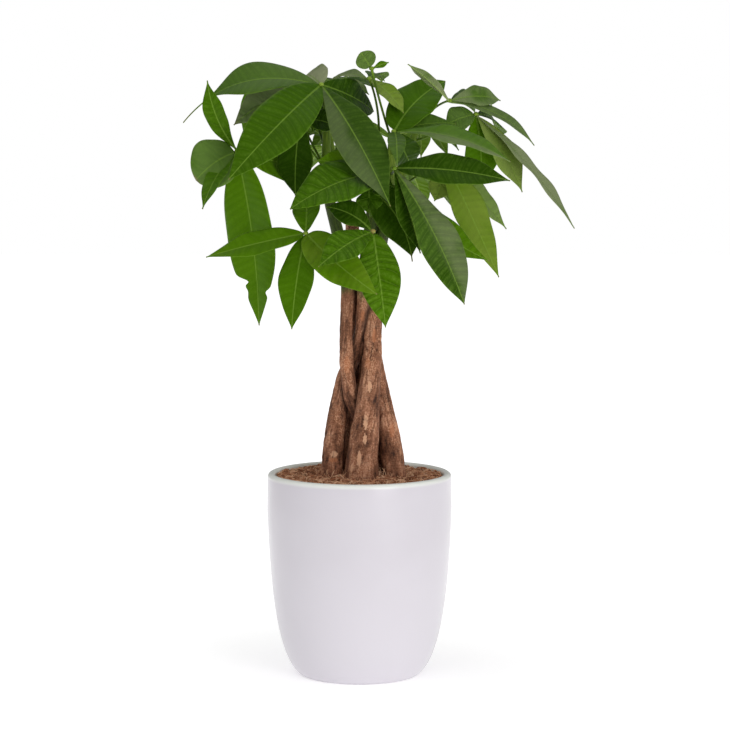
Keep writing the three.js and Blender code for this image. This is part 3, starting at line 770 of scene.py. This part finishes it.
leaves = {
    "leaf_upper_left": {
        "stalk": [(-27, -8, 452), (-29, -8, 475), (-31, -20, 490)], "facing": (-0.15, -0.6, 0.78),
        "leaflets": [
            blade((-114, 20, -31), 41, 23, tail=0.22, widest=0.5, tint=0.42,
                  bloom=(0.3, 0), quilt=0.7, dry=0.2),
            blade((-16, 46, -2), 32, 10, full=1.2, widest=0.38, tint=0.4, bloom=1.5),
            blade((-72, -75, -75), 43, 10, roll=-30, full=1.4, widest=0.48, tint=0.36, quilt=0.9),
            blade((56, -52, -97), 39, 12, tint=0.14, bloom=0.4, side=1, quilt=0.8),
            blade((43, 50, -22), 31, 4, roll=42, full=1.4, tint=0.08, quilt=1.2),
        ],
    },
    "leaf_far_left": {
        "stalk": [(-25, -6, 403), (-64, -14, 445), (-99, -38, 436)], "facing": (-0.45, -0.6, 0.65),
        "leaflets": [
            blade((-23, -12, 57), 19, 4, sway=-3, widest=0.56, tint=0.52),
            blade((-33, -7, -23), 42, 12, roll=-40, full=2.2, tint=0.6, bloom=0.3, quilt=0.6, dry=0.07),
            blade((-26, -37, -45), 20, 5, tint=0.5),
            blade((17, 8, -142), 48, 2, sway=-6, full=1.3, widest=0.46, tint=0.68, quilt=0.5,
                  tears=[(1, 0.745, 0.5, 0.022), (1, 0.8, 0.3, 0.04), (-1, 0.8, 0.3, 0.02)]),
            blade((58, 50, -22), 38, 4, roll=42, full=1.4, tint=0.75),
        ],
    },
    "leaf_left_back": {
        "stalk": [(-27, -7, 433), (-36, 8, 465), (-47, 15, 487)], "facing": (-0.35, -0.5, 0.8),
        "leaflets": [
            blade((-56, -23, -30), 30, 13, roll=-40, full=1.2, tint=0.5, bloom=0.9, quilt=1.5, dry=0.1),
            blade((-49, -3, -36), 46, 13, roll=-28, full=1.5, tint=0.8),
            blade((-34, 72, -30), 31, 9, tint=0.3),
            blade((2, 62, -26), 22, 6, tint=0.3),
        ],
    },
    "leaf_left_inner": {
        "stalk": [(-26, -6, 418), (-40, -14, 443), (-48, -18, 462)], "facing": (-0.3, -0.7, 0.6),
        "leaflets": [
            blade((-4, -12, -62), 32, 4, full=1.2, tint=0.04, quilt=0.5),
            blade((-14, 30, -20), 20, 5, tint=0.85),
            blade((30, 4, -6), 24, 3, tint=0.1),
        ],
    },
    "leaf_back_centre": {
        "stalk": [(-26, 43, 448), (-23, 46, 467), (-19, 45, 492)], "facing": (0, -0.45, 0.9),
        "leaflets": [
            blade((-20, -14, -42), 34, 6, tint=0.12),
            blade((27, -11, -10), 17, 3, tint=0.5, bloom=1),
            blade((-8, 80, -20), 30, 12, tint=0.3),
            blade((48, 46, -16), 28, 8, tint=0.2),
        ],
    },
    "leaf_top": {
        "stalk": [(15, -8, 432), (19, -4, 468), (8, 3, 495)], "facing": (0, -0.35, 0.9),
        "leaflets": [
            blade((-35, 23, -4), 20, 6, tint=0.5, bloom=1),
            blade((13, 7, -2), 9, 3, tint=0.4, bloom=0.4),
            blade((11, 50, -3), 20, 6),
            blade((28, -25, -28), 19, 4, full=1.2, tint=1, bloom=0.2),
        ],
    },
    "leaf_young": {
        "stalk": [(27, -10, 443), (17, -24, 472), (10, -13, 503)], "facing": (-0.1, -0.95, 0.3),
        "leaflets": [
            blade((-9, -2, 13), 18, 1, full=2.2, tint=0.6, bloom=0.35, quilt=1.4),
            blade((14, 2, 5), 6, 1, tint=0.7),
        ],
    },
    "leaf_right_high": {
        "stalk": [(46, 32, 446), (56, 26, 472), (74, 0, 477)], "facing": (0.3, -0.1, 0.9),
        "leaflets": [
            blade((-35, -56, 29), 12, 2, roll=30, tint=0.5, bloom=1.2),
            blade((43, 20, 0), 21, 6, roll=40, tint=0.5, bloom=0.9),
            blade((71, 14, -37), 16, 10, roll=28, tint=0.4, bloom=0.5),
            blade((23, 38, -10), 14, 3, tint=0.15),
            blade((38, 66, -4), 24, 6, tint=0.3),
        ],
    },
    "leaf_far_right": {
        "stalk": [(45, 32, 443), (72, 24, 452), (96, 3, 466)], "facing": (0.6, -0.3, 0.7),
        "leaflets": [
            blade((38, -10, -64), 28, 5, roll=30, tint=1, bloom=0.4, quilt=0.5),
            blade((80, -25, -93), 26, 5, tint=0.6, bloom=1.2),
            blade((5, 1, -58), 33, 3, roll=40, full=1.4, tint=0.6, quilt=0.5),
            blade((-25, -6, -9), 25, 2, roll=-10, full=1.5, tint=0.55, bloom=0.3),
            blade((20, 62, -20), 26, 8, tint=0.4),
        ],
    },
    "leaf_right_upper": {
        "stalk": [(27, -11, 439), (30, -18, 449), (28, -25, 452)], "facing": (0.1, -0.65, 0.75),
        "leaflets": [
            blade((43, 41, 41), 37, 3, sway=-4, full=1.7, widest=0.45, tint=0.4, quilt=0.5),
            blade((94, -20, -24), 31, 10, roll=-14, sway=2, tint=0.6, bloom=(0.5, 1), side=1, quilt=0.6),
            blade((2, -57, -27), 15, 8, bloom=0.15),
            blade((51, 17, 6), 20, 4, tint=0.42, bloom=0.1),
            blade((15, 33, -30), 26, 3, roll=75, full=1.3, tint=0.15),
        ],
    },
    "leaf_right_front": {
        "stalk": [(26, -14, 417), (28, -38, 419), (28, -55, 423)], "facing": (0.25, -0.8, 0.55),
        "leaflets": [
            blade((93, -5, -10), 30, 6, full=1.2, widest=0.5, tint=0.12, quilt=0.8),
            blade((56, -25, -108), 37, 9, full=1.25, widest=0.62, tint=0.28, bloom=0.6, side=-1, quilt=1.5),
            blade((21, -11, -68), 24, 3, tint=0.08),
            blade((78, 25, -76), 28, -6, sway=8, widest=0.6, tint=0.7),
        ],
    },
    "leaf_right_low": {
        "stalk": [(28, 28, 398), (54, 18, 424), (73, 0, 423)], "facing": (0.2, -0.75, 0.6),
        "leaflets": [
            blade((42, -8, -91), 31, 1, full=1.3, widest=0.4, tint=0.95, bloom=0.1, quilt=0.5),
            blade((50, 30, -53), 22, 3, widest=0.5, tint=0.85, bloom=0.5),
            blade((-11, 8, -29), 20, 2, tint=1, bloom=0.2),
        ],
    },
    "leaf_centre_low": {
        "stalk": [(9, -12, 379), (9, -30, 392), (8, -40, 407)], "facing": (0, -0.8, 0.5),
        "leaflets": [
            blade((35, -2, -60), 38, 3, sway=-7, tail=0.06, full=1.5, widest=0.44, tint=0.18,
                  quilt=0.6, dry=0.12),
            blade((20, -12, 1), 22, 3, tint=0.2),
            blade((0, -4, -21), 22, 2, full=1.2, tint=0.3),
        ],
    },
    "leaf_front_low": {
        "stalk": [(4, -9, 341), (8, -42, 353), (11, -70, 373)], "facing": (0, -0.85, 0.5), "husk": 1,
        "leaflets": [
            blade((10, -15, -76), 34, 7, full=1.25, widest=0.48, tint=0.6, quilt=1.9),
            blade((-43, -38, -26), 28, 6, full=1.1, tint=0.5, quilt=1.8),
            blade((-38, 12, 19), 22, 3, sway=3, tint=0.12),
        ],
    },
    "leaf_lower_left": {
        "stalk": [(-15, -4, 338), (-26, -36, 348), (-43, -60, 371)], "facing": (-0.25, -0.75, 0.6),
        "leaflets": [
            blade((-80, -5, -19), 25, 7, sway=-4, full=1.2, widest=0.45, tint=0.7, quilt=0.5),
            blade((-11, -18, -76), 30, 7, sway=-1, full=1.25, widest=0.5, tint=0.6, quilt=0.5),
            blade((57, -42, -46), 34, 3, sway=3, full=1.5, widest=0.42, tint=0.86, quilt=0.7),
            blade((-1, 35, 29), 24, 4, sway=2, full=1.5, tint=0.65),
        ],
    },
    "leaf_centre": {
        "stalk": [(13, -11, 406), (10, -32, 411), (14, -46, 419)], "facing": (-0.1, -0.75, 0.6),
        "leaflets": [
            blade((-69, -34, -28), 44, 8, full=1.5, widest=0.42, tint=0.5, quilt=1.5),
            blade((-49, -4, 10), 29, 3, tint=0.85),
        ],
    },
}

rearLeaves = {
    "leaf_rear_left": {
        "stalk": [(-13, 31, 398), (-44, 50, 440), (-58, 60, 458)], "facing": (-0.3, 0.2, 0.93),
        "count": 5, "longest": 64, "spread": 170, "seed": 3,
    },
    "leaf_rear_low_left": {
        "stalk": [(-6, 22, 373), (-20, 58, 412), (-26, 84, 438)], "facing": (-0.2, 0.2, 0.95),
        "count": 4, "longest": 60, "spread": 130, "seed": 5,
    },
    "leaf_rear_middle": {
        "stalk": [(-22, 39, 423), (-18, 72, 450), (-12, 92, 458)], "facing": (0, 0.4, 0.9),
        "count": 5, "longest": 50, "spread": 140, "seed": 7,
    },
    "leaf_rear_right": {
        "stalk": [(40, 32, 429), (44, 58, 452), (50, 80, 462)], "facing": (0.2, 0.5, 0.8),
        "count": 4, "longest": 50, "spread": 90, "seed": 9,
    },
    "leaf_rear_low_right": {
        "stalk": [(17, 22, 373), (30, 52, 408), (40, 72, 422)], "facing": (0.4, 0.4, 0.85),
        "count": 4, "longest": 66, "spread": 110, "seed": 13,
    },
}


def evenDraws(seed):
    # the same draws as in the part, so the rear leaflets lie where its solids are
    state = seed
    while True:
        state = (state * 1664525 + 1013904223) % 4294967296
        yield state / 4294967296


def spreadLeaflets(row):
    draws = evenDraws(row["seed"])
    up = unit(np.array(row["facing"], float))
    outward = unit(np.array([0, 0, -1.0]) + up * up[2])
    sideways = np.cross(up, outward)
    made = []
    for index in range(row["count"]):
        share = index / (row["count"] - 1) - 0.5
        turn = math.radians(row["spread"] * share + 8 * (next(draws) - 0.5))
        length = row["longest"] * lerp(0.8, 1, math.cos(turn)) * (1 + 0.12 * (next(draws) - 0.5))
        droop = math.radians(lerp(8, 18, next(draws)))
        heading = outward * math.cos(turn) + sideways * math.sin(turn)
        tip = heading * length * math.cos(droop) - up * length * math.sin(droop)
        made.append(blade(tuple(tip), 0.33 * length, 0.1 * length))
    return made


for name, row in rearLeaves.items():
    leaves[name] = {**row, "leaflets": spreadLeaflets(row)}


def bladeSpine(hub, leaflet, facing, along):
    offset = np.array(leaflet["tip"], float)
    chord = unit(offset)
    normal = unit(facing - facing @ chord * chord)
    roll = math.radians(leaflet.get("roll", 0))
    normal = normal * math.cos(roll) + np.cross(chord, normal) * math.sin(roll)
    sideways = np.cross(chord, normal)
    middle = hub + offset / 2 + normal * 2 * leaflet["arch"] + sideways * 2 * leaflet.get("sway", 0)
    points = bezier([hub + chord * leaf["bladeRoot"], middle, hub + offset], along)
    tangent = unit(np.gradient(points, axis=0))
    up = unit(normal - (tangent @ normal)[:, None] * tangent)
    return points, np.cross(tangent, up), up


def bladeHalf(leaflet, along, across):
    # the half-width all over a leaflet, less what is torn off
    within = np.minimum(along / (1 - leaflet.get("tail", 0)), 1)
    shifted = within ** (math.log(0.5) / math.log(leaflet.get("widest", leaf["widestAt"])))
    sharpness = lerp(*leaf["sharpness"], within) / leaflet.get("full", 1)
    half = leaflet["width"] / 2 * np.maximum(np.sin(math.pi * shifted), 0) ** sharpness
    half = np.maximum(half, lerp(*leaf["leastHalf"], along)) * np.ones_like(across)
    for tornSide, tornAt, depth, tall in leaflet.get("tears", []):
        bite = 1 - depth * bell(along - tornAt, tall)
        half = np.where(across * tornSide > 0, half * bite, half)
    return half


def ribPhase(length, half, along, across, draw):
    # it grows by 1 from each side rib to the next, and the two sides alternate
    reach = np.abs(across)
    count = max(round(length / leaf["ribSpacing"]), 6)
    shift = np.where(across > 0, 0.0, 0.4) + draw.uniform(0, 1)
    lean = half / length * (leaf["ribLean"] * reach + leaf["ribCurve"] * reach ** 2)
    uneven = 0.3 * np.sin(along * 17 + draw.uniform(0, 6))
    return count * (along - lean) + shift + uneven


def bladeLift(leaflet, half, phase, along, across, draw):
    # how far the blade rises: the fold, the waves of its edges and the swell between its ribs
    reach = np.abs(across)
    crease = half * math.sin(leaf["fold"]) * reach * (1.2 - 0.45 * reach ** 2)
    waves = leaf["wave"] * np.clip(half / 10, 0, 1.4) * reach ** 2.4
    waves = waves * np.sin(2 * math.pi * (along * draw.uniform(1.6, 3)) + draw.uniform(0, 6) + across * 1.2)
    swell = np.abs(np.sin(math.pi * phase)) ** 0.7 - 0.6
    fade = np.sin(math.pi * along) ** 0.4 * (1 - reach ** 8) * np.clip(reach * half / 2.5, 0, 1)
    strength = leaf["quilt"] * leaflet.get("quilt", 1) * np.clip(half / 9, 0.2, 1.2)
    return crease + waves * np.sin(math.pi * along) ** 0.6 + strength * swell * fade


def bladePaintedSheen(leaflet, along, across):
    bloom = lerp(*np.broadcast_to(leaflet.get("bloom", 0), 2), along) * np.ones_like(across)
    # painted reflection: the half on the given side gets more of the painted sheen
    if "side" in leaflet:
        bloom = bloom * np.clip(0.5 + 1.6 * leaflet["side"] * across, 0.15, 1)
    return bloom


def addLeaflet(shape, hub, leaflet, facing, draw):
    length = np.linalg.norm(leaflet["tip"])
    rows, columns = round(np.clip(length * leaf["rowsEachMm"], *leaf["rows"])), leaf["across"] + 1
    along = np.linspace(0, 1, rows)[:, None]
    across = np.linspace(1, -1, columns)
    across = np.sign(across) * np.abs(across) ** 0.9
    reach = np.abs(across)
    centre, side, up = [part[:, None] for part in bladeSpine(hub, leaflet, facing, along.ravel())]
    half = bladeHalf(leaflet, along, across)
    phase = ribPhase(length, half, along, across, draw)
    lift = bladeLift(leaflet, half, phase, along, across, draw)
    midrib = bell(reach * half, 0.8)
    thick = leaf["thickness"] * (1 - 0.55 * reach ** 4) + midrib * lerp(1.1, 0.25, along)
    top = centre + side * (across * half * math.cos(leaf["fold"]))[..., None]
    top = top + up * (lift - 0.3 * midrib * (1 - along))[..., None]
    under = top - up * thick[..., None]
    tint = leaflet.get("tint", 0.35) + draw.uniform(-0.03, 0.03)
    dry = np.clip((along - 1) / max(leaflet.get("dry", 0), 0.02) + 1, 0, 1)
    looks = {
        "blade": stacked(phase, across, along),
        "wax": stacked(bladePaintedSheen(leaflet, along, across), leaflet.get("quilt", 1), dry),
    }
    first = shape.count
    shape.add(top, gridFaces(rows, columns), look=stacked(1, tint, half), **looks)
    shape.add(under, gridFaces(rows, columns, flip=True), look=stacked(0, tint, half), **looks)
    # a thin band round the edge joins the two faces
    rim = np.concatenate([
        np.arange(rows) * columns,
        (rows - 1) * columns + np.arange(1, columns),
        (np.arange(rows - 2, -1, -1) + 1) * columns - 1,
        np.arange(columns - 2, 0, -1),
    ])
    onward = np.roll(rim, -1)
    band = stacked(rim, onward, onward + rows * columns, rim + rows * columns)
    shape.join(band, first, smooth=False)


def leafFinish():
    finish = Finish("leafBlade", Specular_IOR_Level=0.1, Specular_Tint=leaf["sheen"])
    phase, across, along = finish.look("blade").parts()
    upper, tint, halfWidth = finish.look("look").parts()
    bloom, quilt, dry = finish.look("wax").parts()
    place = finish.place()
    cloud = finish.noise(place, 30)
    net = finish.noise(place, 420)
    fromRib = abs(across) * halfWidth * (along * 0.9 + 0.8)
    midrib = fromRib.between(0.95, 0.35)
    nearest = abs((phase + 0.5).fraction() - 0.5)
    vein = nearest.between(0.07, 0.015) * abs(across).between(1, 0.7)
    # tint holds painted light and shade as well as the leaflet's own green
    face = finish.ramp(tint + cloud * 0.3 + net * 0.08 - 0.19, leaf["tones"])
    uneven = net.between(0.3, 0.7) * quilt
    # painted shade: dark lines along the side ribs, where the swell between them dips
    face = finish.mix(nearest.between(0.26, 0.06) * uneven * 0.3, face, leaf["crease"])
    # painted highlight: the crest of the swell between ribs is painted lighter
    face = finish.mix(nearest.between(0.2, 0.42) * uneven * 0.13, face, leaf["vein"])
    face = finish.mix(vein * quilt * 0.1, face, leaf["vein"])
    face = finish.mix(midrib * 0.52, face, leaf["vein"])
    face = finish.mix(abs(across).between(0.92, 1) * 0.3, face, leaf["vein"])
    face = finish.mix(dry.between(0.1, 0.9) * 0.8, face, leaf["dry"])
    back = finish.mix(cloud.between(0.3, 0.7), *leaf["back"])
    back = finish.mix(vein * 0.35, back, leaf["backVein"])
    back = finish.mix(midrib * 0.8, back, leaf["backMidrib"])
    relief = nearest.between(0, 0.5) * quilt + net * 0.25
    # painted reflection: a greyish sheen is painted into the colour in cloudy patches, less on the midrib
    paintedSheenPatches = bloom * cloud.between(0.2, 0.55) * (1 - midrib * 0.5) * 0.6
    return finish.feed(
        Base_Color=finish.mix(paintedSheenPatches, finish.mix(upper, back, face), leaf["bloom"]),
        Roughness=(1 - upper) * 0.16 + net * 0.14 + bloom * 0.14 + 0.34,
        Normal=finish.bump(relief, 0.0006, 0.6),
    )


def stalkFinish():
    finish = Finish("leafStalk", Specular_IOR_Level=0.25, Specular_Tint=leaf["sheen"])
    place = finish.place()
    knob, dry, _ = finish.look("look").parts()
    cloud = finish.noise(place, 60, 4)
    fine = finish.noise(place, 800, 2)
    colour = finish.ramp(cloud + knob * 0.34, leaf["stalkTones"])
    colour = finish.mix(knob * dry * fine.between(0.3, 0.6), colour, leaf["husk"])
    return finish.feed(
        Base_Color=colour,
        Roughness=fine * 0.15 + 0.38,
        Normal=finish.bump(fine, 0.0003),
    )


def addStalk(shape, stalk, husk):
    along = np.linspace(0, 1, 30)
    swell = np.maximum(bell(along, 0.06), bell(1 - along, 0.05))
    radii = lerp(leaf["stalkRadius"], leaf["stalkEnd"], swell) * lerp(1.08, 0.92, along)
    sides = leaf["stalkSides"]
    near = np.repeat(bell(1 - along, 0.08), sides)
    addTube(shape, bezier(stalk, along), radii, sides, slot=1, look=stacked(near, 0, 0))
    # the hub is a small knob, a little flattened
    hub = np.array(stalk[-1], float)
    rows, columns = leaf["hubGrid"]
    dip = np.linspace(-0.49, 0.49, rows)[:, None] * math.pi
    turn = fullTurn(columns)
    flat = leaf["hubFlatness"]
    ball = stacked(np.cos(dip) * np.cos(turn), np.cos(dip) * np.sin(turn), flat * np.sin(dip))
    shape.addRings(hub + leaf["hubRadius"] * ball, slot=1, look=(1, husk, 0))
    return hub


leafFinishes = [leafFinish(), stalkFinish()]
for number, (name, row) in enumerate(leaves.items()):
    shape = Shape("blade", "look", "wax")
    hub = addStalk(shape, row["stalk"], row.get("husk", 0))
    facing = unit(np.array(row["facing"], float))
    draw = np.random.default_rng(100 + number)
    for leaflet in row["leaflets"]:
        addLeaflet(shape, hub, leaflet, facing, draw)
    dress(shape.build(name.replace("leaf", "foliage"), leafFinishes), "leaf", name)
print("leaves made")


# Studio: a plain pale floor, soft lights and the camera

studio = {
    "floorSize": 12,
    "floor": ink(250, 250, 250),
    "floorShade": ink(236, 236, 236),
    "floorGlow": (0.35, 0.75),
    "glowReach": (0.06, 0.55),
    "surround": 0.35,
    "cameraPlace": (0.0046, -2.2, 0.4776),
    "cameraAim": (0.0046, 0, 0.2586),
    "lens": 131.4,
    "lampAim": (0, 0, 0.25),
    "lamps": [
        # name, place, size, power, colour
        ("keyLamp", (1.2, -1.98, 0.6), 1.1, 18, (1, 0.99, 0.98)),
        ("topLamp", (-0.3, -0.2, 2.2), 3.6, 28, (1, 1, 1)),
    ],
}


def floorFinish():
    finish = Finish("paleFloor", Specular_IOR_Level=0.1, Emission_Strength=1)
    place = finish.place()
    x, y, _ = place.parts()
    shade = finish.noise(place, 0.8, 2)
    # the floor evens out into the white backdrop away from the plant
    away = ((x * x + y * y) ** 0.5).between(*studio["glowReach"])
    near, far = [(glow, glow, glow, 1) for glow in studio["floorGlow"]]
    return finish.feed(
        Base_Color=finish.mix(shade * 0.03, studio["floor"], studio["floorShade"]),
        Roughness=shade * 0.05 + 0.9,
        Emission_Color=finish.mix(away, near, far),
    )


def makeFloor():
    half = studio["floorSize"] / 2 / mm
    shape = Shape()
    shape.add([(-half, -half, 0), (half, -half, 0), (half, half, 0), (-half, half, 0)], [[0, 1, 2, 3]])
    shape.build("floor", [floorFinish()])


def placed(name, data, place, aim):
    # an object that looks from its place to its aim
    holder = bpy.data.objects.new(name, data)
    holder.location = place
    holder.rotation_euler = (Vector(aim) - Vector(place)).to_track_quat("-Z", "Y").to_euler()
    bpy.context.scene.collection.objects.link(holder)
    return holder


def makeLights():
    # a soft surround, with a plain white backdrop behind the plant
    world = bpy.data.worlds.new("studio")
    world.use_nodes = True
    nodes, links = world.node_tree.nodes, world.node_tree.links
    surround, backdrop = nodes["Background"], nodes.new("ShaderNodeBackground")
    for background, strength in ((surround, studio["surround"]), (backdrop, 1)):
        background.inputs["Color"].default_value = (1, 1, 1, 1)
        background.inputs["Strength"].default_value = strength
    choice, ray = nodes.new("ShaderNodeMixShader"), nodes.new("ShaderNodeLightPath")
    links.new(ray.outputs["Is Camera Ray"], choice.inputs[0])
    links.new(surround.outputs[0], choice.inputs[1])
    links.new(backdrop.outputs[0], choice.inputs[2])
    links.new(choice.outputs[0], nodes["World Output"].inputs["Surface"])
    bpy.context.scene.world = world
    for name, place, size, power, colour in studio["lamps"]:
        lamp = bpy.data.lights.new(name, "AREA")
        lamp.size = size
        lamp.energy = power
        lamp.color = colour
        placed(name, lamp, place, studio["lampAim"])


def makeCamera():
    camera = bpy.data.cameras.new("camera")
    camera.lens = studio["lens"]
    camera.sensor_width = 36
    bpy.context.scene.camera = placed("camera", camera, studio["cameraPlace"], studio["cameraAim"])


makeFloor()
makeLights()
makeCamera()
bpy.context.scene.view_settings.view_transform = "Standard"
print("studio made")
